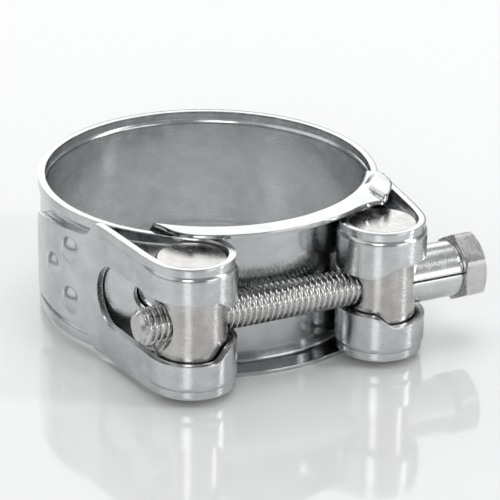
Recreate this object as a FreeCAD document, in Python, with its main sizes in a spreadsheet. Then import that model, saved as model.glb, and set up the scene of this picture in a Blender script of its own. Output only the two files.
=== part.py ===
"""Hose clamp with a bridge, two trunnions and one through bolt.

The clamp lies on its side: the hose axis is Z, the ring centre is the origin and
the bolt runs along X in front of the ring, at negative Y.
"""
import FreeCAD, Part
import os
import Sketcher
from FreeCAD import Placement, Rotation, Vector

X_AXIS = Vector(1, 0, 0)
Y_AXIS = Vector(0, 1, 0)
Z_AXIS = Vector(0, 0, 1)

# Driving dimensions: millimetres and degrees.
SIZES = [
    ("bore_radius", 26.4, "inside of the band ring"),
    ("band_gauge", 1.1, "thickness of the band strip"),
    ("band_width", 22.0, "width of the band strip"),
    ("tab_width", 17.4, "width of the strip end that is clinched back on the ring"),
    ("tab_end", 10.0, "angle behind X where the clinched end stops"),
    ("crease_angle", 26.5, "angle in front of X where the strip leaves the ring again"),
    ("loop_bore", 6.1, "inside radius of the loop round a trunnion"),
    ("trunnion_offset", 16.65, "X of each trunnion axis"),
    ("seam_angle", 0.1, "half of the gap between the two halves at the back, in degrees"),
    ("slot_width", 10.3, "height of the wide slot in the outer leg"),
    ("slot_end", -13.0, "Y where the wide slot ends, near the crease"),
    ("passage_width", 6.6, "height of the narrow slot that the bolt passes"),
    ("passage_end", 4.7, "how far the narrow slot runs behind the bolt axis"),
    ("trunnion_radius", 5.7, "outside of a trunnion"),
    ("trunnion_length", 20.6, "length of a trunnion"),
    ("trunnion_edge", 0.4, "chamfer on a trunnion's ends"),
    ("seat_radius", 4.65, "spot face in the plain trunnion's outer side"),
    ("seat_level", 3.2, "distance of the spot face from the trunnion axis"),
    ("countersink_radius", 4.4, "mouth of the threaded trunnion's hole, on its outermost line"),
    ("tapped_radius", 3.06, "bore of the threaded trunnion"),
    ("plain_radius", 3.3, "bore of the plain trunnion"),
    ("bolt_radius", 3.0, "outside of the bolt thread"),
    ("bolt_tip", -26.0, "X of the bolt's free end"),
    ("bolt_tip_chamfer", 0.7, "chamfer on the bolt's free end"),
    ("head_seat", 29.5, "X of the underside of the bolt head"),
    ("head_height", 4.0, "height of the bolt head"),
    ("head_flats", 10.0, "width across the flats of the bolt head"),
    ("head_chamfer", 0.45, "depth of the chamfer on the bolt head"),
    ("sleeve_radius", 4.5, "outside of the spacer sleeve"),
    ("sleeve_bore", 3.3, "inside of the spacer sleeve"),
    ("end_play", 0.05, "play at each end of the spacer sleeve"),
    ("bridge_bore", 25.3, "inside of the bridge, which bears on the hose"),
    ("bridge_gauge", 0.7, "thickness of the bridge"),
    ("bridge_gap", 0.6, "play between a bridge lip and the band edge"),
    ("bridge_web_sweep", 122.0, "angle that the bridge web spans"),
    ("bridge_lip_sweep", 84.0, "angle that the bridge lips span"),
    ("bridge_lip_radius", 29.8, "outside of the bridge lips"),
    ("bridge_bend", 0.6, "outer bend radius between web and lip"),
]


def make_sheet(doc):
    """The spreadsheet that drives every sub-part."""
    sheet = doc.addObject("Spreadsheet::Sheet", "Sizes")
    for row, (alias, number, note) in enumerate(SIZES, start=1):
        sheet.set("A%d" % row, alias)
        sheet.set("B%d" % row, str(number))
        sheet.set("C%d" % row, note)
        sheet.setAlias("B%d" % row, alias)
    doc.recompute()
    return sheet


def cell(name):
    return "Sizes." + name


# Formulas worked out from the driving dimensions, as text that the objects are bound to.
BAND_OUTER = "(Sizes.bore_radius + Sizes.band_gauge)"
LOOP_OUTER = "(Sizes.loop_bore + Sizes.band_gauge)"
TAB_OUTER = "(Sizes.bore_radius + 2 * Sizes.band_gauge)"
CREASE_RADIUS = "(Sizes.bore_radius + 1.5 * Sizes.band_gauge)"
LOOP_CENTRE_LINE = "(Sizes.loop_bore + 0.5 * Sizes.band_gauge)"
# The strip turns from the ring into the loop where their centre lines touch.
TRUNNION_REACH = "(Sizes.bore_radius + Sizes.loop_bore + Sizes.band_gauge)"
TRUNNION_DROP = "sqrt(%s^2 - Sizes.trunnion_offset^2)" % TRUNNION_REACH
TRUNNION_BEARING = "(acos(Sizes.trunnion_offset / %s) / 1 deg)" % TRUNNION_REACH
CREASE_X = "(%s * cos(Sizes.crease_angle))" % CREASE_RADIUS
CREASE_Y = "(-%s * sin(Sizes.crease_angle))" % CREASE_RADIUS
# The outer leg runs from the crease to the loop, touching the loop's centre line.
CREASE_TO_TRUNNION = "sqrt((%s - Sizes.trunnion_offset)^2 + (%s + %s)^2)" % (
    CREASE_X, CREASE_Y, TRUNNION_DROP)
LEG_LENGTH = "sqrt((%s)^2 - %s^2)" % (CREASE_TO_TRUNNION, LOOP_CENTRE_LINE)
LEG_LEAN = "((atan((%s - Sizes.trunnion_offset) / (%s + %s)) - asin(%s / %s)) / 1 deg)" % (
    CREASE_X, CREASE_Y, TRUNNION_DROP, LOOP_CENTRE_LINE, CREASE_TO_TRUNNION)
CLEAR_CUT = 2.0  # how far each cutting tool runs past the material
PAST_BAR = "Sizes.trunnion_radius + %g" % CLEAR_CUT  # distance that clears a trunnion's side


def bind(obj, formulas):
    """Bind properties of obj, given by path, to formulas on the sheet."""
    for path, formula in formulas.items():
        obj.setExpression(path, formula)
    return obj


# --- Band halves: primitives and booleans --------------------------------------------

def sector(doc, name, side, radius, width, start, sweep, at_trunnion=False):
    """A pie-shaped slice about the ring centre or a trunnion, mirrored on the left side."""
    first = start if side > 0 else "180 - (%s) - (%s)" % (start, sweep)
    pie = doc.addObject("Part::Cylinder", name)
    pie.Placement = Placement(Vector(), Rotation(Z_AXIS, 0))
    bind(pie, {
        "Radius": radius,
        "Height": width,
        "Angle": sweep,
        "Placement.Rotation.Angle": first,
        "Placement.Base.z": "-0.5 * (%s)" % width,
    })
    if at_trunnion:
        bind(pie, {
            "Placement.Base.x": "%d * Sizes.trunnion_offset" % side,
            "Placement.Base.y": "-" + TRUNNION_DROP,
        })
    return pie


def disc(doc, name, radius, width, side=0):
    """A round cutting tool along Z, about the ring centre or the trunnion of one side."""
    tool = doc.addObject("Part::Cylinder", name)
    bind(tool, {
        "Radius": radius,
        "Height": "(%s) + %g" % (width, 2 * CLEAR_CUT),
        "Placement.Base.z": "-0.5 * (%s) - %g" % (width, CLEAR_CUT),
    })
    if side:
        bind(tool, {
            "Placement.Base.x": "%d * Sizes.trunnion_offset" % side,
            "Placement.Base.y": "-" + TRUNNION_DROP,
        })
    return tool


def cut(doc, name, base, tool):
    result = doc.addObject("Part::Cut", name)
    result.Base = base
    result.Tool = tool
    return result


def fuse(doc, name, pieces):
    result = doc.addObject("Part::MultiFuse", name)
    result.Shapes = pieces
    return result


def curved_strip(doc, name, side, inner, outer, width, start, sweep, at_trunnion=False):
    """A stretch of bent strip: a slice of outer radius less the disc inside it."""
    whole = sector(doc, name + "_slice", side, outer, width, start, sweep, at_trunnion)
    core = disc(doc, name + "_core", inner, width, side if at_trunnion else 0)
    return cut(doc, name, whole, core)


def outer_leg(doc, name, side):
    """The straight leg between the crease and the loop, on the outer side of the trunnion."""
    leg = doc.addObject("Part::Box", name)
    leg.Placement = Placement(Vector(), Rotation(Z_AXIS, 0))
    # A left leg is the right one turned over about the Y axis, so it starts at its outer face.
    inner_face = "Sizes.loop_bore" if side > 0 else LOOP_OUTER
    bind(leg, {
        "Length": cell("band_gauge"),
        "Width": LEG_LENGTH,
        "Height": cell("band_width"),
        "Placement.Rotation.Angle": "%d * %s" % (-side, LEG_LEAN),
        "Placement.Base.x": "%d * (Sizes.trunnion_offset + %s * cos(%s))" % (
            side, inner_face, LEG_LEAN),
        "Placement.Base.y": "-%s - %s * sin(%s)" % (TRUNNION_DROP, inner_face, LEG_LEAN),
        "Placement.Base.z": "-0.5 * Sizes.band_width",
    })
    return leg


def crease_round(doc, name, side):
    """The outside of the bend where the leg turns into the clinched end."""
    bend = doc.addObject("Part::Cylinder", name)
    bind(bend, {
        "Radius": "0.5 * Sizes.band_gauge",
        "Height": cell("tab_width"),
        "Placement.Base.x": "%d * %s" % (side, CREASE_X),
        "Placement.Base.y": CREASE_Y,
        "Placement.Base.z": "-0.5 * Sizes.tab_width",
    })
    return bend


def slot_tool(doc, name, width, x_low, x_high, y_low, y_round_end):
    """A cutter along X for a slot of the given width whose back end is round."""
    block = doc.addObject("Part::Box", name + "_block")
    bind(block, {
        "Length": "(%s) - (%s)" % (x_high, x_low),
        "Width": "(%s) - 0.5 * (%s) - (%s)" % (y_round_end, width, y_low),
        "Height": width,
        "Placement.Base.x": x_low,
        "Placement.Base.y": y_low,
        "Placement.Base.z": "-0.5 * (%s)" % width,
    })
    end = doc.addObject("Part::Cylinder", name + "_end")
    end.Placement = Placement(Vector(), Rotation(Y_AXIS, 90))
    bind(end, {
        "Radius": "0.5 * (%s)" % width,
        "Height": "(%s) - (%s)" % (x_high, x_low),
        "Placement.Base.x": x_low,
        "Placement.Base.y": "(%s) - 0.5 * (%s)" % (y_round_end, width),
    })
    return fuse(doc, name, [block, end])


def side_span(side, near, far):
    """Low and high X formulas of a span given as distances outward from the centre."""
    if side > 0:
        return near, far
    return "-(%s)" % far, "-(%s)" % near


def strap_slots(doc, name, side):
    """The wide slot in the outer leg and the narrow one that the bolt passes."""
    front = "-%s - %s - %g" % (TRUNNION_DROP, LOOP_OUTER, CLEAR_CUT)
    leg_side = side_span(side, cell("trunnion_offset"),
                         "%s + %g" % (TAB_OUTER, CLEAR_CUT))
    gap_side = side_span(side, "Sizes.trunnion_offset - %s - %g" % (LOOP_OUTER, CLEAR_CUT),
                         cell("trunnion_offset"))
    wide = slot_tool(doc, name + "_wide", cell("slot_width"), leg_side[0], leg_side[1],
                     front, cell("slot_end"))
    narrow = slot_tool(doc, name + "_narrow", cell("passage_width"), gap_side[0], gap_side[1],
                       front, "-%s + Sizes.passage_end" % TRUNNION_DROP)
    return fuse(doc, name, [wide, narrow])


def band_half(doc, node, side):
    """One half of the band: ring arc, loop, outer leg and clinched end."""
    ring = curved_strip(doc, node + "_ring", side, cell("bore_radius"), BAND_OUTER,
                        cell("band_width"), "-" + TRUNNION_BEARING,
                        "%s + 90 - Sizes.seam_angle" % TRUNNION_BEARING)
    loop = curved_strip(doc, node + "_loop", side, cell("loop_bore"), LOOP_OUTER,
                        cell("band_width"), "180 - %s" % TRUNNION_BEARING,
                        "180 + %s - %s" % (TRUNNION_BEARING, LEG_LEAN), at_trunnion=True)
    tab = curved_strip(doc, node + "_tab", side, BAND_OUTER, TAB_OUTER, cell("tab_width"),
                       "-Sizes.crease_angle", "Sizes.crease_angle + Sizes.tab_end")
    end = fuse(doc, node + "_end", [loop, outer_leg(doc, node + "_leg", side)])
    slotted = cut(doc, node + "_slotted", end, strap_slots(doc, node + "_slots", side))
    whole = fuse(doc, node, [ring, slotted, tab, crease_round(doc, node + "_bend", side)])
    whole.Label = node
    whole.Refine = True
    return whole


# --- Turned and pressed pieces: PartDesign bodies ------------------------------------

def origin_plane(body, role):
    for feature in body.Origin.OriginFeatures:
        if feature.Role == role:
            return feature
    raise ValueError("no origin plane called " + role)


def new_body(doc, node):
    body = doc.addObject("PartDesign::Body", node)
    body.Label = node
    return body


def new_sketch(body, name, plane, offset=None):
    sketch = body.newObject("Sketcher::SketchObject", name)
    sketch.AttachmentSupport = [(origin_plane(body, plane), "")]
    sketch.MapMode = "FlatFace"
    if offset:
        sketch.setExpression("AttachmentOffset.Base.z", offset)
    return sketch


def polygon(sketch, corners):
    """A closed outline whose corners are bound to formulas for their two coordinates."""
    points = [Vector(float(sketch.evalExpression(across)), float(sketch.evalExpression(up)), 0)
              for across, up in corners]
    count = len(points)
    for index in range(count):
        sketch.addGeometry(Part.LineSegment(points[index], points[(index + 1) % count]), False)
    for index in range(count):
        sketch.addConstraint(Sketcher.Constraint("Coincident", index, 2, (index + 1) % count, 1))
    for index, (across, up) in enumerate(corners):
        for kind, formula, number in (("DistanceX", across, points[index].x),
                                      ("DistanceY", up, points[index].y)):
            place = sketch.addConstraint(Sketcher.Constraint(kind, -1, 1, index, 1, number))
            sketch.setExpression("Constraints[%d]" % place, formula)
    return sketch


def circle(sketch, radius, across="0", up="0"):
    """A circle whose radius and centre are bound to formulas."""
    numbers = [float(sketch.evalExpression(formula)) for formula in (radius, across, up)]
    sketch.addGeometry(Part.Circle(Vector(numbers[1], numbers[2], 0), Z_AXIS, numbers[0]), False)
    for kind, formula, number in (("DistanceX", across, numbers[1]),
                                  ("DistanceY", up, numbers[2])):
        place = sketch.addConstraint(Sketcher.Constraint(kind, -1, 1, 0, 3, number))
        sketch.setExpression("Constraints[%d]" % place, formula)
    place = sketch.addConstraint(Sketcher.Constraint("Radius", 0, numbers[0]))
    sketch.setExpression("Constraints[%d]" % place, radius)
    return sketch


def hexagon(sketch, flats):
    """A hexagon across the given flats with a corner on the sketch's second axis."""
    corner = "(%s) / sqrt(3)" % flats
    corners = [("%s * sin(%d)" % (corner, turn), "%s * cos(%d)" % (corner, turn))
               for turn in range(0, 360, 60)]
    return polygon(sketch, corners)


def edges_where(shape, test):
    """Names of the edges of shape whose middle point passes the test."""
    names = []
    for number, edge in enumerate(shape.Edges, start=1):
        middle = edge.valueAt(0.5 * (edge.FirstParameter + edge.LastParameter))
        if test(middle):
            names.append("Edge%d" % number)
    return names


def pad(body, sketch, name, length, symmetric=False):
    feature = body.newObject("PartDesign::Pad", name)
    feature.Profile = sketch
    feature.setExpression("Length", length)
    feature.SideType = "Symmetric" if symmetric else "One side"
    return feature


def pocket(body, sketch, name, length, backwards=False):
    feature = body.newObject("PartDesign::Pocket", name)
    feature.Profile = sketch
    feature.setExpression("Length", length)
    feature.Reversed = backwards
    return feature


def revolve(body, sketch, name, sweep="360", midplane=False):
    feature = body.newObject("PartDesign::Revolution", name)
    feature.Profile = sketch
    feature.ReferenceAxis = (sketch, ["H_Axis"] if sweep == "360" else ["V_Axis"])
    feature.setExpression("Angle", sweep)
    feature.Midplane = midplane
    return feature


def groove(body, sketch, name):
    """A full turn of the sketch about X, cut from the body."""
    feature = body.newObject("PartDesign::Groove", name)
    feature.Profile = sketch
    feature.ReferenceAxis = (sketch, ["H_Axis"])
    feature.Angle = 360
    body.Tip = feature
    return feature


def trunnion(doc, node, side, hole_radius):
    """A round bar along Z with chamfered ends and a cross hole for the bolt."""
    body = new_body(doc, node)
    bar = pad(body, circle(new_sketch(body, node + "_round", "XY_Plane"), cell("trunnion_radius")),
              node + "_bar", cell("trunnion_length"), symmetric=True)
    doc.recompute()
    edge = body.newObject("PartDesign::Chamfer", node + "_edge")
    edge.Base = (bar, edges_where(bar.Shape, lambda middle: abs(middle.z) > 1.0))
    edge.setExpression("Size", cell("trunnion_edge"))
    body.Tip = edge
    hole_sketch = circle(new_sketch(body, node + "_hole_round", "YZ_Plane", "-(%s)" % PAST_BAR),
                         hole_radius)
    pocket(body, hole_sketch, node + "_hole", "2 * (%s)" % PAST_BAR, backwards=True)
    bind(body, {
        "Placement.Base.x": "%d * Sizes.trunnion_offset" % side,
        "Placement.Base.y": "-" + TRUNNION_DROP,
    })
    return body


def plain_trunnion(doc, node, side):
    """The trunnion the bolt turns in: its outer side has a flat seat for the spacer sleeve."""
    body = trunnion(doc, node, side, cell("plain_radius"))
    seat_plane = "%d * Sizes.seat_level" % side
    seat_sketch = circle(new_sketch(body, node + "_seat_round", "YZ_Plane", seat_plane),
                         cell("seat_radius"))
    pocket(body, seat_sketch, node + "_seat", PAST_BAR, backwards=side > 0)
    return body


def threaded_trunnion(doc, node, side):
    """The trunnion the bolt screws into: its hole is countersunk on the outer side."""
    body = trunnion(doc, node, side, cell("tapped_radius"))
    foot = "%d * (Sizes.trunnion_radius + Sizes.tapped_radius - Sizes.countersink_radius)" % side
    mouth = "%d * (%s)" % (side, PAST_BAR)
    sketch = new_sketch(body, node + "_cone", "XZ_Plane")
    polygon(sketch, [
        (foot, "0"),
        (foot, cell("tapped_radius")),
        (mouth, "Sizes.countersink_radius + %g" % CLEAR_CUT),
        (mouth, "0"),
    ])
    groove(body, sketch, node + "_countersink")
    return body


def hex_bolt(doc, node):
    """The bolt: shank and head collar turned about X, then six flats by a hexagon pad."""
    body = new_body(doc, node)
    corner = "(Sizes.head_flats / sqrt(3))"
    head_top = "Sizes.head_seat + Sizes.head_height"
    inside_head = "Sizes.head_seat + 0.5 * Sizes.head_height"
    head_sketch = new_sketch(body, node + "_hexagon", "YZ_Plane", cell("head_seat"))
    pad(body, hexagon(head_sketch, cell("head_flats")), node + "_head", cell("head_height"))
    doc.recompute()
    crown_sketch = new_sketch(body, node + "_crown_outline", "XZ_Plane")
    polygon(crown_sketch, [
        (head_top, "%s - 2 * Sizes.head_chamfer" % corner),
        ("%s + %g" % (head_top, CLEAR_CUT), "%s - 2 * Sizes.head_chamfer" % corner),
        ("%s + %g" % (head_top, CLEAR_CUT), "%s + %g" % (corner, CLEAR_CUT)),
        ("%s - Sizes.head_chamfer" % head_top, "%s + %g" % (corner, CLEAR_CUT)),
        ("%s - Sizes.head_chamfer" % head_top, corner),
    ])
    groove(body, crown_sketch, node + "_crown")
    shank_sketch = new_sketch(body, node + "_shank_outline", "XZ_Plane")
    polygon(shank_sketch, [
        (cell("bolt_tip"), "0"),
        (cell("bolt_tip"), "Sizes.bolt_radius - Sizes.bolt_tip_chamfer"),
        ("Sizes.bolt_tip + Sizes.bolt_tip_chamfer", cell("bolt_radius")),
        (cell("head_seat"), cell("bolt_radius")),
        (inside_head, cell("bolt_radius")),
        (inside_head, "0"),
    ])
    revolve(body, shank_sketch, node + "_shank")
    body.setExpression("Placement.Base.y", "-" + TRUNNION_DROP)
    return body


def spacer_sleeve(doc, node):
    """A short tube rolled from strip, between the plain trunnion and the bolt head."""
    body = new_body(doc, node)
    start = "(Sizes.trunnion_offset + Sizes.seat_level + Sizes.end_play)"
    end = "(Sizes.head_seat - Sizes.end_play)"
    sketch = new_sketch(body, node + "_wall", "XZ_Plane")
    polygon(sketch, [
        (start, cell("sleeve_bore")),
        (start, cell("sleeve_radius")),
        (end, cell("sleeve_radius")),
        (end, cell("sleeve_bore")),
    ])
    revolve(body, sketch, node + "_tube")
    body.setExpression("Placement.Base.y", "-" + TRUNNION_DROP)
    return body


def bridge(doc, node):
    """The pressed U-section that closes the ring under the gap, round the front of the clamp."""
    body = new_body(doc, node)
    bore = cell("bridge_bore")
    web_face = "(Sizes.bridge_bore + Sizes.bridge_gauge)"
    lip_inner = "(0.5 * Sizes.band_width + Sizes.bridge_gap)"
    lip_outer = "(0.5 * Sizes.band_width + Sizes.bridge_gap + Sizes.bridge_gauge)"
    lip_edge = cell("bridge_lip_radius")
    section = new_sketch(body, node + "_section", "YZ_Plane")
    polygon(section, [
        ("-" + bore, "-" + lip_outer),
        ("-" + lip_edge, "-" + lip_outer),
        ("-" + lip_edge, "-" + lip_inner),
        ("-" + web_face, "-" + lip_inner),
        ("-" + web_face, lip_inner),
        ("-" + lip_edge, lip_inner),
        ("-" + lip_edge, lip_outer),
        ("-" + bore, lip_outer),
    ])
    channel = revolve(body, section, node + "_channel", cell("bridge_lip_sweep"), midplane=True)
    doc.recompute()
    tongue_sketch = new_sketch(body, node + "_tongue_section", "YZ_Plane")
    polygon(tongue_sketch, [
        ("-" + bore, "-" + lip_outer),
        ("-" + web_face, "-" + lip_outer),
        ("-" + web_face, lip_outer),
        ("-" + bore, lip_outer),
    ])
    tongue = revolve(body, tongue_sketch, node + "_tongue", cell("bridge_web_sweep"), midplane=True)
    doc.recompute()
    inner = body.evalExpression(bore)
    top = body.evalExpression(lip_outer)
    near = 0.01
    rims = edges_where(tongue.Shape, lambda middle: abs(abs(middle.z) - top) < near and
                       abs((middle.x ** 2 + middle.y ** 2) ** 0.5 - inner) < near)
    bend = body.newObject("PartDesign::Fillet", node + "_bend")
    bend.Base = (tongue, rims)
    bend.setExpression("Radius", cell("bridge_bend"))
    body.Tip = bend
    return body


def check_document(doc, nodes):
    """Stop if any object failed to rebuild, or if a sub-part isn't one valid closed solid."""
    for obj in doc.Objects:
        if "Invalid" in obj.State or "Error" in obj.State:
            raise RuntimeError("%s failed: %s" % (obj.Name, obj.State))
    for obj in nodes:
        shape = obj.Shape
        if shape.isNull() or not shape.isValid() or len(shape.Solids) != 1:
            raise RuntimeError("%s is not one valid solid" % obj.Label)
        print("%-18s %9.1f mm3  %s" % (obj.Label, shape.Volume, shape.BoundBox))


def main():
    doc = FreeCAD.newDocument("HoseClamp")
    make_sheet(doc)
    nodes = [
        band_half(doc, "band_left", -1),
        band_half(doc, "band_right", 1),
        bridge(doc, "bridge"),
        threaded_trunnion(doc, "threaded_trunnion", -1),
        plain_trunnion(doc, "plain_trunnion", 1),
        hex_bolt(doc, "hex_bolt"),
        spacer_sleeve(doc, "spacer_sleeve"),
    ]
    doc.recompute()
    check_document(doc, nodes)
    os.makedirs("parts", exist_ok=True)
    for obj in nodes:
        obj.Shape.exportStep("parts/%s.step" % obj.Label)


main()
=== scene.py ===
import math

import bpy
from mathutils import Matrix, Vector


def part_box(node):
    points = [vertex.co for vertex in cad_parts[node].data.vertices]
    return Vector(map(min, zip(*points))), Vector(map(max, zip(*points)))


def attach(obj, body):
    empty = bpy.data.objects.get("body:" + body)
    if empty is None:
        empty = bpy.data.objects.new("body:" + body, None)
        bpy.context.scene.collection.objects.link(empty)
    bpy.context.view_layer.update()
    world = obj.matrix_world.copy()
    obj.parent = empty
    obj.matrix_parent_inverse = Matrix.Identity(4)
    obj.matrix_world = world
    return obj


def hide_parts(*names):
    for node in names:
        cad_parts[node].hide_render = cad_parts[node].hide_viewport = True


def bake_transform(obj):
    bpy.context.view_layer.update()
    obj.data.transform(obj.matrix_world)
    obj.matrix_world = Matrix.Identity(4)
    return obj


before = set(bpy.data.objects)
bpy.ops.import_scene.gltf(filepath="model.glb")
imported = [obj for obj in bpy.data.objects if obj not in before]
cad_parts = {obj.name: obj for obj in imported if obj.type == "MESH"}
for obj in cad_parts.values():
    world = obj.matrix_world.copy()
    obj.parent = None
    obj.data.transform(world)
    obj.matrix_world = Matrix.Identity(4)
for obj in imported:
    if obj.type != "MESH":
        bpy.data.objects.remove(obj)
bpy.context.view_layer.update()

# The clamp lies with its hose axis along Z and the ring centre at the origin; the bolt runs
# along X in front of the ring. Shapes are worked out in millimetres, and make_mesh makes them
# in metres. The camera, lights and floor come last and are in metres where they say so.
MM = 0.001


def size_mm(node):
    """Lowest and highest corner of a CAD node, in millimetres."""
    low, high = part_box(node)
    return low / MM, high / MM


# --- Sizes read from the CAD frame -------------------------------------------------------
BAND_LOW, BAND_HIGH = size_mm("band_right")
BOLT_LOW, BOLT_HIGH = size_mm("hex_bolt")
SLEEVE_LOW, SLEEVE_HIGH = size_mm("spacer_sleeve")
BRIDGE_LOW, BRIDGE_HIGH = size_mm("bridge")

GAUGE = 1.1                                   # thickness of the band strip
SEAT_LEVEL = 3.2                              # from a trunnion's axis to the sleeve's seat
END_PLAY = 0.05                               # at each end of the sleeve
HALF_WIDTH = BAND_HIGH.z                      # half the band's width
RING_OUTER = BAND_HIGH.y
RING_MID = RING_OUTER - GAUGE / 2
TRUNNION_X = SLEEVE_LOW.x - END_PLAY - SEAT_LEVEL
AXIS_Y = (SLEEVE_LOW.y + SLEEVE_HIGH.y) / 2   # the bolt's axis, and both trunnions'
TRUNNION_REACH = math.hypot(TRUNNION_X, AXIS_Y)
TRUNNION_BEARING = math.atan2(AXIS_Y, TRUNNION_X)
LOOP_MID = TRUNNION_REACH - RING_MID          # radius of the loop's centre line


def smooth(value):
    """Eases from 0 to 1 while value does."""
    value = min(1.0, max(0.0, value))
    return value * value * (3 - 2 * value)


def fade(value, start, length):
    """Eases from 0 to 1 while value goes from start to start + length."""
    return smooth((value - start) / length)


def mix(low, high, share):
    return low + (high - low) * share


def corner_loss(from_end, radius):
    """How much narrower a strip with round corners is at a distance from its end."""
    if from_end >= radius:
        return 0.0
    return radius - math.sqrt(max(0.0, radius ** 2 - (radius - from_end) ** 2))


# --- Meshes ------------------------------------------------------------------------------
CUT_EDGE = 0.16                               # bevel on the band's cut edges
BEVEL_ANGLE = 40.0                            # degrees; sharper edges than this are beveled
SHADE_ANGLE = 40.0                            # degrees; sharper edges than this look sharp
THREAD_SHADE_ANGLE = 32.0


def shade(mesh, sharp_angle):
    mesh.polygons.foreach_set("use_smooth", [True] * len(mesh.polygons))
    mesh.set_sharp_from_angle(angle=math.radians(sharp_angle))


def make_mesh(name, points, faces, uvs=None, sharp_angle=SHADE_ANGLE):
    """A new object from points in millimetres; uvs gives one pair for each point."""
    mesh = bpy.data.meshes.new(name)
    mesh.from_pydata([(x * MM, y * MM, z * MM) for x, y, z in points], [], faces)
    if uvs:
        layer = mesh.uv_layers.new(name="grain")
        for loop in mesh.loops:
            layer.data[loop.index].uv = uvs[loop.vertex_index]
    mesh.validate()
    shade(mesh, sharp_angle)
    obj = bpy.data.objects.new(name, mesh)
    bpy.context.collection.objects.link(obj)
    return obj


def weld(obj, reach):
    """Joins the points that are nearer to each other than reach."""
    modifier = obj.modifiers.new("weld", "WELD")
    modifier.merge_threshold = reach * MM
    return obj


def thicken(obj, thickness, edge=CUT_EDGE):
    """Gives a sheet its thickness, softens its cut edges and applies the modifiers."""
    solid = obj.modifiers.new("thickness", "SOLIDIFY")
    solid.thickness = thickness * MM
    solid.offset = 0
    solid.use_even_offset = True
    bevel = obj.modifiers.new("edges", "BEVEL")
    bevel.width = edge * MM
    bevel.segments = 2
    bevel.limit_method = "ANGLE"
    bevel.angle_limit = math.radians(BEVEL_ANGLE)
    graph = bpy.context.evaluated_depsgraph_get()
    finished = bpy.data.meshes.new_from_object(obj.evaluated_get(graph))
    obj.modifiers.clear()
    obj.data = finished
    shade(finished, SHADE_ANGLE)
    return obj


# --- Sizes of the band strip's details ---------------------------------------------------
CREASE_ANGLE = math.radians(-26.5)            # where the strip leaves the ring for its leg
CREASE_SOFT = 1.8                             # how far the bend reaches each side of it
CREASE_SHARE = 0.985                          # the bend's length over its two straight runs
TAB_END_ANGLE = math.radians(10.0)            # where the clinched end, or tab, stops
STATION_STEP = {"ring": 0.6, "loop": 0.35, "leg": 0.55, "crease": 0.25, "tab": 0.36}
CLOSEST_STATIONS = 0.045
TANGENT_REACH = 0.02
TAB_HALF_WIDTH = (8.7, 6.9)                   # at the shoulder and at the end
TAB_CORNER = 1.3
SHOULDER_START = -0.26                        # from the crease's end
SHOULDER_LENGTH = 2.6
SLOT_HALF_WIDE = 5.15                         # along the outer leg
SLOT_HALF_NARROW = 3.3                        # where the bolt passes
SLOT_STEP = math.radians(232.0)               # direction from the trunnion where it widens
SLOT_STEP_LENGTH = LOOP_MID * math.radians(32.0)
SLOT_CREASE_GAP = 0.6
SLOT_WIDE_ROUND = 4.4                         # length of the wide end's rounding
SLOT_NARROW_ROUND = 4.6                       # length of the narrow end's rounding
SLOT_NARROW_REACH = 9.8                       # how far it runs past the loop onto the ring
SLOT_END_ROWS = 10
EDGE_BEAD = 0.34                              # height of the bead along the strip's edges
BEAD_FLAT = 1.4                               # width of the raised edge
BEAD_SLOPE = 0.6                              # width of its slope down to the sheet
BEAD_LOSS = 0.75                              # share of its height that it loses on the leg
BEAD_LOSS_START = -1.5                        # from the start of the leg
BEAD_LOSS_LENGTH = 5.0
BEAD_END_LENGTH = 2.0                         # past the start of the crease it dies out
DIMPLES = ((-4.3, 0.1), (-14.5, 4.5), (-14.5, -4.1))   # direction in degrees, and height
DIMPLE_RADIUS = 2.2
DIMPLE_HEIGHT = 0.85
DIMPLE_ROUNDNESS = 1.3
DIMPLE_BACKING = 0.75                         # the dome's share in the ring under the tab
# Rows across the strip: distances from the slot, and from the strip's edge.
SLOT_ROWS = (0.0, 0.3)
EDGE_ROWS = (2.3, 2.05, 1.9, 1.75, 1.6, 1.45, 1.3, 0.9, 0.45, 0.0)
MIDDLE_ROWS = 20
LEFT_GRAIN = 1000                             # gives the left half a grain of its own


# --- The band strip's path ---------------------------------------------------------------

def arc(centre, radius, start, end):
    """An arc's length, and its point at a distance along it."""
    turn = 1 if end > start else -1

    def at(along):
        angle = start + turn * along / radius
        return Vector((centre[0] + radius * math.cos(angle),
                       centre[1] + radius * math.sin(angle)))
    return abs(end - start) * radius, at


def line(first, last):
    """A straight run's length, and its point at a distance along it."""
    way = (last - first).normalized()
    return (last - first).length, lambda along: first + way * along


def bend(first, corner, last):
    """A soft bend's length, and its point at a distance along it."""
    length = ((corner - first).length + (last - corner).length) * CREASE_SHARE

    def at(along):
        share = along / length
        return first.lerp(corner, share).lerp(corner.lerp(last, share), share)
    return length, at


def strip_path():
    """The right half's centre line as pieces: (name, length, function of distance along it).

    It runs from the back of the ring clockwise to the trunnion, round the trunnion, up the
    outer leg to the crease and back over the ring.
    """
    tab_radius = RING_OUTER + GAUGE / 2
    trunnion = Vector((TRUNNION_X, AXIS_Y))
    crease = Vector((math.cos(CREASE_ANGLE), math.sin(CREASE_ANGLE))) * tab_radius
    away = crease - trunnion
    lean = math.atan2(away.x, away.y) - math.asin(LOOP_MID / away.length)
    leg_foot = trunnion + Vector((math.cos(lean), -math.sin(lean))) * LOOP_MID
    leg_top = crease + (leg_foot - crease).normalized() * CREASE_SOFT
    tab_start = CREASE_ANGLE + CREASE_SOFT / tab_radius
    tab_foot = Vector((math.cos(tab_start), math.sin(tab_start))) * tab_radius
    return [
        ("ring", *arc((0, 0), RING_MID, math.pi / 2, TRUNNION_BEARING)),
        ("loop", *arc(trunnion, LOOP_MID, TRUNNION_BEARING + math.pi, 2 * math.pi - lean)),
        ("leg", *line(leg_foot, leg_top)),
        ("crease", *bend(leg_top, crease, tab_foot)),
        ("tab", *arc((0, 0), tab_radius, tab_start, TAB_END_ANGLE)),
    ]


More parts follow.
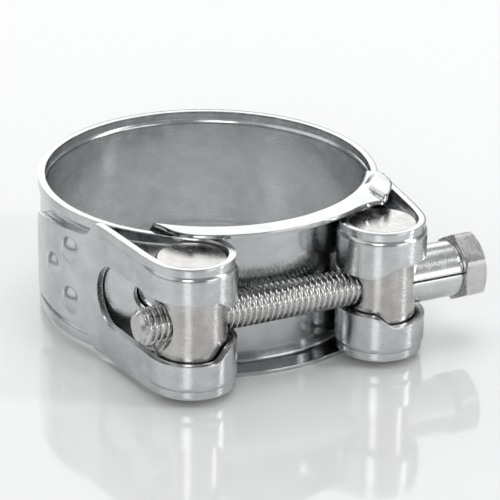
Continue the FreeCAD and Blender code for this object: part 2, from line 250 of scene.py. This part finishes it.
def strip_landmarks(path):
    """Distances along the centre line to the start of each piece, the slot's places and the end."""
    marks, total = {}, 0.0
    for name, length, _ in path:
        marks[name] = total
        total += length
    marks["end"] = total
    loop_start = TRUNNION_BEARING + math.pi
    marks["step"] = marks["loop"] + LOOP_MID * (SLOT_STEP - loop_start)
    marks["narrow_end"] = marks["loop"] - SLOT_NARROW_REACH
    marks["wide_end"] = marks["crease"] + CREASE_SOFT - SLOT_CREASE_GAP
    return marks


def strip_stations(path, marks):
    """Distances along the strip where its cross rows lie, closer together at the slot ends."""
    stations = []
    for name, length, _ in path:
        count = max(2, round(length / STATION_STEP[name]))
        stations += [marks[name] + length * step / count for step in range(count)]
    stations.append(marks["end"])
    for step in range(SLOT_END_ROWS + 1):
        share = 1 - math.cos(math.pi / 2 * step / SLOT_END_ROWS)
        stations.append(marks["narrow_end"] + SLOT_NARROW_ROUND * share)
        stations.append(marks["wide_end"] - SLOT_WIDE_ROUND * share)
    stations.sort()
    kept = [stations[0]]
    for station in stations[1:]:
        if station - kept[-1] > CLOSEST_STATIONS:
            kept.append(station)
    for exact in (marks["narrow_end"], marks["wide_end"]):
        nearest = min(range(len(kept)), key=lambda index: abs(kept[index] - exact))
        kept[nearest] = exact
    return kept


def point_on(path, marks, along):
    """The centre line's point at a distance along the whole strip."""
    for name, length, at in path:
        if along <= marks[name] + length or name == path[-1][0]:
            return at(along - marks[name])


# --- The band strip's outline, slot and pressed details ----------------------------------

def strip_half_width(marks, along):
    """Half the strip's width, less at the shoulder and along the tapered tab."""
    past_crease = along - marks["crease"] - CREASE_SOFT
    tab_length = marks["end"] - marks["crease"] - CREASE_SOFT
    tab_width = mix(*TAB_HALF_WIDTH, max(0.0, past_crease) / tab_length)
    width = mix(HALF_WIDTH, tab_width, fade(past_crease, SHOULDER_START, SHOULDER_LENGTH))
    return width - corner_loss(marks["end"] - along, TAB_CORNER)


def rounded(distance, reach):
    """Share of full width at a distance from a slot's round end."""
    if distance <= 0:
        return 0.0
    return math.sqrt(max(0.0, 1 - (1 - min(1.0, distance / reach)) ** 2))


def slot_half_width(marks, along):
    """Half the slot's height: narrow where the bolt passes, wide along the outer leg."""
    width = mix(SLOT_HALF_NARROW, SLOT_HALF_WIDE, fade(along, marks["step"], SLOT_STEP_LENGTH))
    width *= rounded(along - marks["narrow_end"], SLOT_NARROW_ROUND)
    return width * rounded(marks["wide_end"] - along, SLOT_WIDE_ROUND)


def row_heights(inner, outer):
    """Heights of the rows between the slot's edge and the strip's edge."""
    low = inner + SLOT_ROWS[-1]
    high = outer - EDGE_ROWS[0]
    middle = [mix(low, high, row / MIDDLE_ROWS) for row in range(1, MIDDLE_ROWS)]
    return [inner + row for row in SLOT_ROWS] + middle + [outer - row for row in EDGE_ROWS]


def dimple(point, height):
    """Height of the clinched domes at a point of the ring or the tab."""
    rise = 0.0
    for direction, level in DIMPLES:
        turn = math.atan2(point.y, point.x) - math.radians(direction)
        reach = math.hypot(turn * RING_OUTER, height - level) / DIMPLE_RADIUS
        if reach < 1:
            rise = max(rise, DIMPLE_HEIGHT * (1 - reach ** 2) ** DIMPLE_ROUNDNESS)
    return rise


def bead_height(marks, along):
    """Height of the edge bead: full on the ring and the loop, low on the leg."""
    on_leg = fade(along, marks["leg"] + BEAD_LOSS_START, BEAD_LOSS_LENGTH)
    past_leg = fade(along, marks["crease"], BEAD_END_LENGTH)
    return EDGE_BEAD * (1 - BEAD_LOSS * on_leg) * (1 - past_leg)


def dimple_lift(marks, along, centre, level):
    """How far the dimples push the sheet: outwards on the tab and in the ring under it."""
    if along >= marks["crease"]:
        return -dimple(centre, level)
    if along < marks["loop"]:
        return DIMPLE_BACKING * dimple(centre, level)
    return 0.0


def band_side(side):
    """One half of the strip as points, faces and uvs; side is 1 for right, -1 for left."""
    path = strip_path()
    marks = strip_landmarks(path)
    stations = strip_stations(path, marks)
    points, uvs, faces, index = [], [], [], {}
    for column, along in enumerate(stations):
        centre = point_on(path, marks, along)
        before = point_on(path, marks, max(0.0, along - TANGENT_REACH))
        after = point_on(path, marks, min(marks["end"], along + TANGENT_REACH))
        tangent = (after - before).normalized()
        normal = Vector((-tangent.y, tangent.x))
        outer = strip_half_width(marks, along)
        inner = slot_half_width(marks, along)
        bead = bead_height(marks, along)
        for row, height in enumerate(row_heights(inner, outer)):
            edge_lift = bead * (1 - fade(outer - height, BEAD_FLAT, BEAD_SLOPE))
            for half in (1, -1):
                key = (column, row, half)
                if row == 0 and inner == 0 and half < 0:
                    index[key] = index[(column, row, 1)]
                    continue
                level = half * height
                place = centre + normal * (edge_lift + dimple_lift(marks, along, centre, level))
                index[key] = len(points)
                points.append((side * place.x, place.y, level))
                uvs.append((along, level + (LEFT_GRAIN if side < 0 else 0)))
    rows = len(row_heights(0, HALF_WIDTH))
    for column in range(len(stations) - 1):
        for row in range(rows - 1):
            for half in (1, -1):
                face = [index[(column, row, half)], index[(column + 1, row, half)],
                        index[(column + 1, row + 1, half)], index[(column, row + 1, half)]]
                face = list(dict.fromkeys(face))
                faces.append(face if half * side > 0 else face[::-1])
    return points, faces, uvs


def make_band():
    """The whole strip in one piece: both halves joined at the back of the ring."""
    points, faces, uvs = [], [], []
    for side in (1, -1):
        side_points, side_faces, side_uvs = band_side(side)
        start = len(points)
        points += side_points
        uvs += side_uvs
        faces += [[corner + start for corner in face] for face in side_faces]
    return thicken(weld(make_mesh("band", points, faces, uvs), 0.01), GAUGE)


# --- The bridge --------------------------------------------------------------------------
BRIDGE_GAUGE = 0.7
BRIDGE_BORE = 25.3                            # its inside radius, which bears on the hose
BRIDGE_MID = BRIDGE_BORE + BRIDGE_GAUGE / 2
BRIDGE_BEND = 0.9                             # bend radius between the web and each lip
BRIDGE_EDGE = 0.14                            # bevel on its cut edges
LIP_LEVEL = BRIDGE_HIGH.z - BRIDGE_GAUGE / 2
WEB_END = LIP_LEVEL - BRIDGE_BEND             # from the section's middle, on the flat
BEND_END = WEB_END + BRIDGE_BEND * math.pi / 2
# Outer radius of the lips against direction in degrees, from the left end to the right ear.
LIP_OUTLINE = ((-136.5, 25.3), (-134.5, 26.3), (-131, 27.0), (-126, 28.7), (-121, 29.6),
               (-117, 29.75), (-62, 29.75), (-57.5, 30.2), (-55, 31.2), (-53, 31.8), (-51, 31.8),
               (-47, 31.4), (-43, 31.0), (-39, 30.2), (-35, 28.9), (-32, 27.3), (-30, 25.3))
OUTLINE_BLUR = (-1.2, -0.8, -0.4, 0.0, 0.4, 0.8, 1.2)
TONGUE_ENDS = (-151.0, -26.0)                 # directions of the web's two ends, in degrees
TONGUE_HALF = 10.3                            # half the web's height past the lips
TONGUE_CORNER = 3.0
PLAIN_STRETCH = (-115.0, -60.0)               # directions between which the outline is plain
PLAIN_STEP = 0.8
BUSY_STEP = 0.35
SECTION_ROWS = (10, 8, 14)                    # along half the web, a bend and a lip
# The ear at the right end of each lip is pressed up beyond this line of (direction, radius).
FOLD_LINE = ((-47.0, 27.3), (-52.9, 31.5))
EAR_RISE = 0.5
EAR_FOLD = 0.9                                # width of the fold
EAR_ROOT = (26.3, 1.6)                        # radius where the rise starts, and its slope
EAR_FALL = 0.75                               # share of the rise that is lost towards its tip
EAR_FALL_SPAN = (2.2, 4.0)                    # distance past the line, and length
DIP_DEPTH = 0.28                              # the groove along the fold
DIP_PLACE = -0.1
DIP_WIDTH = 0.4
DIP_ROOT = (27.8, 2.0)                        # radius where the groove starts, and its slope


def on_plan(direction, radius):
    """The point at a direction in radians and a radius."""
    return Vector((radius * math.cos(direction), radius * math.sin(direction)))


def outline_at(outline, place):
    """The height of an outline of points at a place, with straight lines between them."""
    for (low, first), (high, last) in zip(outline, outline[1:]):
        if low <= place <= high:
            return mix(first, last, (place - low) / (high - low))
    return outline[0][1] if place < outline[0][0] else outline[-1][1]


def lip_reach(radius):
    """Distance from the section's middle, measured on the flat, to a lip's outer radius."""
    past_web = (radius - BRIDGE_MID) / BRIDGE_BEND
    if past_web <= 0:
        return TONGUE_HALF
    if past_web < 1:
        return WEB_END + BRIDGE_BEND * math.acos(1 - past_web)
    return BEND_END + BRIDGE_BEND * (past_web - 1)


def section_point(along):
    """(radius, height) of the section's middle line at a distance from its middle."""
    if along <= WEB_END:
        return BRIDGE_MID, along
    if along <= BEND_END:
        turn = (along - WEB_END) / BRIDGE_BEND
        return (BRIDGE_MID + BRIDGE_BEND * (1 - math.cos(turn)),
                WEB_END + BRIDGE_BEND * math.sin(turn))
    return BRIDGE_MID + BRIDGE_BEND + along - BEND_END, LIP_LEVEL


def ear_rise(radius, angle):
    """How far the pressed ear stands above the lip at a point."""
    first, last = (on_plan(math.radians(direction), reach) for direction, reach in FOLD_LINE)
    fold = (last - first).normalized()
    past = (on_plan(angle, radius) - first).dot(Vector((-fold.y, fold.x)))
    dip = DIP_DEPTH * math.exp(-((past - DIP_PLACE) / DIP_WIDTH) ** 2) * fade(radius, *DIP_ROOT)
    rise = EAR_RISE * smooth(past / EAR_FOLD) * fade(radius, *EAR_ROOT)
    return rise * (1 - EAR_FALL * fade(past, *EAR_FALL_SPAN)) - dip


def bridge_directions():
    """Directions of the sections in degrees, closer together where the outline is busy."""
    directions, direction = [], TONGUE_ENDS[0]
    while direction <= TONGUE_ENDS[1]:
        directions.append(direction)
        plain = PLAIN_STRETCH[0] <= direction <= PLAIN_STRETCH[1]
        direction += PLAIN_STEP if plain else BUSY_STEP
    return directions


def section_rows(direction, outline):
    """Distances from the section's middle to its edge: along the web, the bend and the lip."""
    reach = sum(outline_at(outline, direction + blur) for blur in OUTLINE_BLUR)
    reach /= len(OUTLINE_BLUR)
    from_end = min(direction - TONGUE_ENDS[0], TONGUE_ENDS[1] - direction)
    reach -= corner_loss(math.radians(from_end) * BRIDGE_MID, TONGUE_CORNER)
    stops = (0, min(reach, WEB_END), min(reach, BEND_END), reach)
    rows = []
    for count, low, high in zip(SECTION_ROWS, stops, stops[1:]):
        rows += [mix(low, high, row / count) for row in range(count)]
    return rows + [reach]


def make_bridge():
    """The bent section under the band's gap, with its tongue ends and crimped ears."""
    points, uvs, faces = [], [], []
    outline = [(direction, lip_reach(radius)) for direction, radius in LIP_OUTLINE]
    directions = bridge_directions()
    for direction in directions:
        rows = section_rows(direction, outline)
        angle = math.radians(direction)
        for half in (1, -1):
            for row in (rows if half > 0 else rows[1:]):
                radius, height = section_point(row)
                height += ear_rise(radius, angle) if row > BEND_END else 0.0
                points.append((*on_plan(angle, radius), half * height))
                uvs.append((angle * BRIDGE_MID, half * row))
    count = sum(SECTION_ROWS)
    width = 2 * count + 1

    def vertex(column, row):
        """Rows run from -count at one lip's edge to count at the other's."""
        return column * width + (row if row >= 0 else count - row)

    for column in range(len(directions) - 1):
        for row in range(-count, count):
            faces.append([vertex(column, row), vertex(column + 1, row),
                          vertex(column + 1, row + 1), vertex(column, row + 1)])
    bridge = weld(make_mesh("bridge_strip", points, faces, uvs), 0.03)
    return thicken(bridge, BRIDGE_GAUGE, BRIDGE_EDGE)


# --- The bolt ----------------------------------------------------------------------------
ROUND_SEGMENTS = 72                           # round the bolt and the sleeve
THREAD_PITCH = 1.0
THREAD_STEPS = 14                             # rings in each pitch
THREAD_OUTER = 3.0
THREAD_ROOT = 2.42
THREAD_FLANK = 0.35                           # shares of the pitch
THREAD_CREST = 0.18
THREAD_END = SLEEVE_LOW.x + 4.0               # 4 mm inside the sleeve, out of sight
THREAD_FADE = 1.5
TIP_RADII = (0.7, 1.4, 2.05)                  # rings of the flat tip
TIP_CHAMFER_START = 2.1
TIP_CHAMFER_SLOPE = 0.85
NECK_LENGTH = 0.2                             # fillet where the shank meets the head
HALF_FLATS = (BOLT_HIGH.y - BOLT_LOW.y) / 2
CORNER_ROUNDING = 0.12
HEAD_SEAT = SLEEVE_HIGH.x + END_PLAY
SEAT_RADIUS = HALF_FLATS * 0.93               # round face under the head
SEAT_SLOPE = 0.35
CROWN_RADIUS = HALF_FLATS * 0.95              # flat face on top of the head
CROWN_SLOPE = math.tan(math.radians(28))
HEX_SIDE = 60                                 # degrees that one side of the head spans


def thread_height(turns):
    """Share of the thread's depth at a position along one pitch."""
    place = turns % 1.0
    end = 2 * THREAD_FLANK + THREAD_CREST
    if place > end:
        return 0.0
    return smooth(min(1.0, place / THREAD_FLANK, (end - place) / THREAD_FLANK))


def shank_rings():
    """Rings of (place along the bolt, radius) of the flat tip and the thread."""
    rings = [[(BOLT_LOW.x, 0.0)]]
    rings += [[(BOLT_LOW.x, radius)] * ROUND_SEGMENTS for radius in TIP_RADII]
    count = int((THREAD_END - BOLT_LOW.x) / THREAD_PITCH * THREAD_STEPS)
    for step in range(count + 1):
        along = BOLT_LOW.x + step * THREAD_PITCH / THREAD_STEPS
        tip_limit = TIP_CHAMFER_START + (along - BOLT_LOW.x) * TIP_CHAMFER_SLOPE
        plain = 1 - smooth((THREAD_END - along) / THREAD_FADE)
        ring = []
        for segment in range(ROUND_SEGMENTS):
            height = thread_height(along / THREAD_PITCH - segment / ROUND_SEGMENTS)
            radius = mix(THREAD_ROOT, THREAD_OUTER, max(height, plain))
            ring.append((along, min(radius, tip_limit)))
        rings.append(ring)
    return rings


def head_rings():
    """Rings of (place along the bolt, radius) of the neck and the hexagonal head."""
    outline = []
    for segment in range(ROUND_SEGMENTS):
        turn = math.degrees(2 * math.pi * segment / ROUND_SEGMENTS) % HEX_SIDE - HEX_SIDE / 2
        side = HALF_FLATS / math.cos(math.radians(turn))
        outline.append(min(side, 2 * HALF_FLATS / math.sqrt(3) - CORNER_ROUNDING))
    return [
        [(HEAD_SEAT - NECK_LENGTH, THREAD_OUTER)] * ROUND_SEGMENTS,
        [(HEAD_SEAT, THREAD_OUTER + NECK_LENGTH)] * ROUND_SEGMENTS,
        [(HEAD_SEAT, SEAT_RADIUS)] * ROUND_SEGMENTS,
        [(HEAD_SEAT + (radius - SEAT_RADIUS) * SEAT_SLOPE, radius) for radius in outline],
        [(BOLT_HIGH.x - (radius - CROWN_RADIUS) * CROWN_SLOPE, radius) for radius in outline],
        [(BOLT_HIGH.x, CROWN_RADIUS)] * ROUND_SEGMENTS,
        [(BOLT_HIGH.x, CROWN_RADIUS / 2)] * ROUND_SEGMENTS,
        [(BOLT_HIGH.x, 0.0)],
    ]


def make_bolt():
    """The hex bolt: threaded shank, chamfered tip and a head with a turned crown."""
    rings = shank_rings() + head_rings()
    points, faces, first = [], [], []
    for ring in rings:
        first.append(len(points))
        for segment, (along, radius) in enumerate(ring):
            angle = 2 * math.pi * segment / ROUND_SEGMENTS
            points.append((along, AXIS_Y + radius * math.sin(angle), radius * math.cos(angle)))
    for number in range(len(rings) - 1):
        near, far = first[number], first[number + 1]
        for segment in range(ROUND_SEGMENTS):
            after = (segment + 1) % ROUND_SEGMENTS
            if len(rings[number]) == 1:
                faces.append([near, far + segment, far + after])
            elif len(rings[number + 1]) == 1:
                faces.append([near + segment, far, near + after])
            else:
                faces.append([near + segment, far + segment, far + after, near + after])
    return make_mesh("bolt_threaded", points, faces, sharp_angle=THREAD_SHADE_ANGLE)


# --- The sleeve --------------------------------------------------------------------------
SLEEVE_WALL = 1.15
SLEEVE_MID = (SLEEVE_HIGH.z - SLEEVE_LOW.z) / 2 - SLEEVE_WALL / 2
SLEEVE_SEAM = math.radians(-80.0)             # direction of the butt seam
SLEEVE_SEAM_GAP = 0.14 / SLEEVE_MID           # as an angle
SLEEVE_STEPS = 12
SLEEVE_EDGE = 0.2                             # bevel on its ends and seam


def make_sleeve():
    """The spacer: a strip rolled into a tube, with its butt seam facing forward."""
    points, uvs, faces = [], [], []
    for step in range(SLEEVE_STEPS + 1):
        along = mix(SLEEVE_LOW.x, SLEEVE_HIGH.x, step / SLEEVE_STEPS)
        for segment in range(ROUND_SEGMENTS + 1):
            turned = (2 * math.pi - SLEEVE_SEAM_GAP) * segment / ROUND_SEGMENTS
            angle = SLEEVE_SEAM + SLEEVE_SEAM_GAP / 2 + turned
            points.append((along, AXIS_Y + SLEEVE_MID * math.sin(angle),
                           SLEEVE_MID * math.cos(angle)))
            uvs.append((SLEEVE_MID * angle, along))
    width = ROUND_SEGMENTS + 1
    for step in range(SLEEVE_STEPS):
        for segment in range(ROUND_SEGMENTS):
            base = step * width + segment
            faces.append([base, base + 1, base + 1 + width, base + width])
    return thicken(make_mesh("sleeve_rolled", points, faces, uvs), SLEEVE_WALL, SLEEVE_EDGE)


# --- Materials ---------------------------------------------------------------------------
MOTTLE_SCALE = 350.0                          # patches of plating for each metre
SPECK_SCALE = 5200.0                          # specks for each metre
ROUGHNESS_SPREAD = (-0.07, 0.09)              # what the grain does to the roughness
MOTTLE_SPREAD = (-0.03, 0.05)                 # what the patches do to it
GRAIN_BUMP = 0.05
SPECK_BUMP = 0.03


def new_material(name):
    material = bpy.data.materials.new(name)
    material.use_nodes = True
    return material, material.node_tree, material.node_tree.nodes["Principled BSDF"]


def noise(tree, vector, scale, detail, roughness=0.5):
    node = tree.nodes.new("ShaderNodeTexNoise")
    node.inputs["Scale"].default_value = scale
    node.inputs["Detail"].default_value = detail
    node.inputs["Roughness"].default_value = roughness
    tree.links.new(vector, node.inputs["Vector"])
    return node.outputs["Fac"]


def spread(tree, value, low, high, low_place=0.3, high_place=0.7):
    """Maps the middle of a noise's range, between the two places, to low and high."""
    node = tree.nodes.new("ShaderNodeMapRange")
    node.inputs["From Min"].default_value = low_place
    node.inputs["From Max"].default_value = high_place
    node.inputs["To Min"].default_value = low
    node.inputs["To Max"].default_value = high
    tree.links.new(value, node.inputs["Value"])
    return node.outputs["Result"]


def bump(tree, height, strength, distance):
    node = tree.nodes.new("ShaderNodeBump")
    node.inputs["Strength"].default_value = strength
    node.inputs["Distance"].default_value = distance * MM
    tree.links.new(height, node.inputs["Height"])
    return node


def zinc_steel(name, light, dark, roughness, grain, by_uv=True, grain_depth=0.12, speckle=0.0):
    """Zinc plated steel: rolled or turned grain, cloudy plating and small specks.

    grain gives how fine the grain is along each coordinate; by_uv follows the strip.
    """
    material, tree, shader = new_material(name)
    shader.inputs["Metallic"].default_value = 1.0
    coordinates = tree.nodes.new("ShaderNodeTexCoord")
    place = coordinates.outputs["Object"]
    stretch = tree.nodes.new("ShaderNodeMapping")
    stretch.inputs["Scale"].default_value = grain
    tree.links.new(coordinates.outputs["UV"] if by_uv else place, stretch.inputs["Vector"])
    lines = noise(tree, stretch.outputs["Vector"], scale=1.0, detail=8.0, roughness=0.62)
    clouds = noise(tree, place, MOTTLE_SCALE, detail=6.0, roughness=0.6)
    specks = noise(tree, place, SPECK_SCALE, detail=3.0)

    colour = tree.nodes.new("ShaderNodeMix")
    colour.data_type = "RGBA"
    colour.inputs["A"].default_value = (*dark, 1)
    colour.inputs["B"].default_value = (*light, 1)
    tree.links.new(spread(tree, clouds, 0.0, 1.0, 0.32, 0.68), colour.inputs["Factor"])
    tree.links.new(colour.outputs["Result"], shader.inputs["Base Color"])

    finest, roughest = ROUGHNESS_SPREAD
    total = tree.nodes.new("ShaderNodeMath")
    total.operation = "ADD"
    fine = spread(tree, lines, roughness + finest, roughness + roughest)
    tree.links.new(fine, total.inputs[0])
    tree.links.new(spread(tree, clouds, *MOTTLE_SPREAD), total.inputs[1])
    tree.links.new(total.outputs["Value"], shader.inputs["Roughness"])

    grain_bump = bump(tree, lines, grain_depth, GRAIN_BUMP)
    speck_bump = bump(tree, specks, speckle, SPECK_BUMP)
    tree.links.new(grain_bump.outputs["Normal"], speck_bump.inputs["Normal"])
    tree.links.new(speck_bump.outputs["Normal"], shader.inputs["Normal"])
    return material


def floor_material():
    """A white floor with a soft gloss, which mirrors the clamp."""
    material, _, shader = new_material("floor_white")
    shader.inputs["Base Color"].default_value = (0.81, 0.812, 0.812, 1)
    shader.inputs["Roughness"].default_value = 0.07
    shader.inputs["IOR"].default_value = 1.5
    return material


def finish_with(obj, material):
    obj.data.materials.clear()
    obj.data.materials.append(material)
    return obj


# --- Camera, lights and floor ------------------------------------------------------------
CAMERA_AZIMUTH = -26.487                      # degrees
CAMERA_ELEVATION = 23.725
CAMERA_ROLL = 0.868
CAMERA_DISTANCE = 494.3                       # millimetres from the ring's centre
CAMERA_RIGHT = 7.05                           # millimetres aside, and up, from that line
CAMERA_UP = -2.90
CAMERA_LENS = 215.3
SENSOR_WIDTH = 36
CLIP_RANGE = (0.01, 50)                       # metres

WORLD_STRENGTH = 0.40
# Brightness of the room against height: 0 is level, 1 is straight up.
WORLD_STOPS = ((0.0, (0.62, 0.625, 0.63, 1)), (0.4, (0.66, 0.665, 0.67, 1)),
               (1.0, (0.95, 0.96, 0.97, 1)))
# Each panel's name, place, width and height in metres, and power in watts.
LIGHTS = (
    ("overhead", (0.03, 0.06, 0.62), 0.52, 0.50, 1.7),
    ("front_right", (0.30, -0.64, 0.13), 0.34, 0.20, 0.45),
    ("left_panel", (-0.60, 0.10, 0.30), 0.80, 0.50, 0.8),
    ("right_strip", (0.42, -0.31, 0.22), 0.08, 0.42, 0.9),
    ("back_panel", (0.10, 0.75, 0.38), 0.9, 0.48, 2.0),
    ("front_fill", (-0.40, -0.58, 0.30), 0.22, 0.30, 1.0),
)
LIGHT_TARGET = Vector((0, -0.01, 0))          # metres
FLOOR_HALF = 3.0                              # metres


def make_camera():
    """A long lens, left of the front and above."""
    turn, tilt, roll = map(math.radians, (CAMERA_AZIMUTH, CAMERA_ELEVATION, CAMERA_ROLL))
    back = Vector((math.sin(turn) * math.cos(tilt), -math.cos(turn) * math.cos(tilt),
                   math.sin(tilt)))
    level = Vector((math.cos(turn), math.sin(turn), 0))
    rise = back.cross(level)
    place = back * CAMERA_DISTANCE + level * CAMERA_RIGHT + rise * CAMERA_UP
    right = level * math.cos(roll) + rise * math.sin(roll)
    up = rise * math.cos(roll) - level * math.sin(roll)
    data = bpy.data.cameras.new("camera")
    data.lens = CAMERA_LENS
    data.sensor_width = SENSOR_WIDTH
    data.clip_start, data.clip_end = CLIP_RANGE
    camera = bpy.data.objects.new("camera", data)
    bpy.context.collection.objects.link(camera)
    turned = Matrix((right, up, back)).transposed().to_4x4()
    camera.matrix_world = Matrix.Translation(place * MM) @ turned
    bpy.context.scene.camera = camera


def area_light(name, place, width, height, power):
    """A soft panel at a place in metres, facing the clamp."""
    data = bpy.data.lights.new(name, "AREA")
    data.shape = "RECTANGLE"
    data.size, data.size_y = width, height
    data.energy = power
    light = bpy.data.objects.new(name, data)
    bpy.context.collection.objects.link(light)
    light.location = place
    light.rotation_mode = "QUATERNION"
    light.rotation_quaternion = (LIGHT_TARGET - Vector(place)).to_track_quat("-Z", "Y")


def make_world():
    """A pale room that gets brighter overhead."""
    world = bpy.data.worlds.new("room")
    bpy.context.scene.world = world
    world.use_nodes = True
    nodes, links = world.node_tree.nodes, world.node_tree.links
    background = nodes["Background"]
    coordinates = nodes.new("ShaderNodeTexCoord")
    parts = nodes.new("ShaderNodeSeparateXYZ")
    links.new(coordinates.outputs["Generated"], parts.inputs["Vector"])
    height = nodes.new("ShaderNodeValToRGB")
    stops = height.color_ramp.elements
    stops.new(WORLD_STOPS[1][0])
    for stop, (position, colour) in zip(stops, WORLD_STOPS):
        stop.position, stop.color = position, colour
    links.new(parts.outputs["Z"], height.inputs["Fac"])
    links.new(height.outputs["Color"], background.inputs["Color"])
    background.inputs["Strength"].default_value = WORLD_STRENGTH


def make_stage():
    """The floor under the clamp's lowest face, and the light panels."""
    level = min(BRIDGE_LOW.z, BAND_LOW.z) * MM
    corners = [(x * FLOOR_HALF, y * FLOOR_HALF, level)
               for x, y in ((-1, -1), (1, -1), (1, 1), (-1, 1))]
    mesh = bpy.data.meshes.new("floor")
    mesh.from_pydata(corners, [], [(0, 1, 2, 3)])
    floor = bpy.data.objects.new("floor", mesh)
    bpy.context.collection.objects.link(floor)
    floor.data.materials.append(floor_material())
    for name, place, width, height, power in LIGHTS:
        area_light(name, place, width, height, power)


# --- Putting it together -----------------------------------------------------------------

def main():
    bpy.context.scene.view_settings.view_transform = "Standard"
    make_camera()
    make_world()
    make_stage()
    strip_steel = zinc_steel("band_zinc", (0.67, 0.685, 0.69), (0.54, 0.555, 0.56), 0.21,
                             (0.05, 9.0, 1.0), grain_depth=0.06)
    bridge_steel = zinc_steel("bridge_zinc", (0.60, 0.615, 0.62), (0.49, 0.505, 0.51), 0.14,
                              (0.06, 8.0, 1.0), grain_depth=0.045)
    turned_steel = zinc_steel("trunnion_zinc", (0.61, 0.60, 0.585), (0.44, 0.43, 0.42), 0.21,
                              (900.0, 900.0, 5200.0), by_uv=False, speckle=0.2)
    bolt_steel = zinc_steel("bolt_zinc", (0.67, 0.67, 0.66), (0.53, 0.53, 0.525), 0.22,
                            (4200.0, 900.0, 900.0), by_uv=False, grain_depth=0.04, speckle=0.05)
    sleeve_steel = zinc_steel("sleeve_zinc", (0.74, 0.75, 0.75), (0.62, 0.63, 0.63), 0.22,
                              (2.0, 8.0, 1.0), speckle=0.1)

    band = finish_with(make_band(), strip_steel)
    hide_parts("band_left", "band_right")
    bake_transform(band)

    bridge = finish_with(make_bridge(), bridge_steel)
    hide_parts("bridge")
    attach(bridge, "ring")

    bolt = finish_with(make_bolt(), bolt_steel)
    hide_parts("hex_bolt")
    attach(bolt, "bolt")

    sleeve = finish_with(make_sleeve(), sleeve_steel)
    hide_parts("spacer_sleeve")
    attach(sleeve, "sleeve")

    for node in ("threaded_trunnion", "plain_trunnion"):
        finish_with(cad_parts[node], turned_steel)


main()
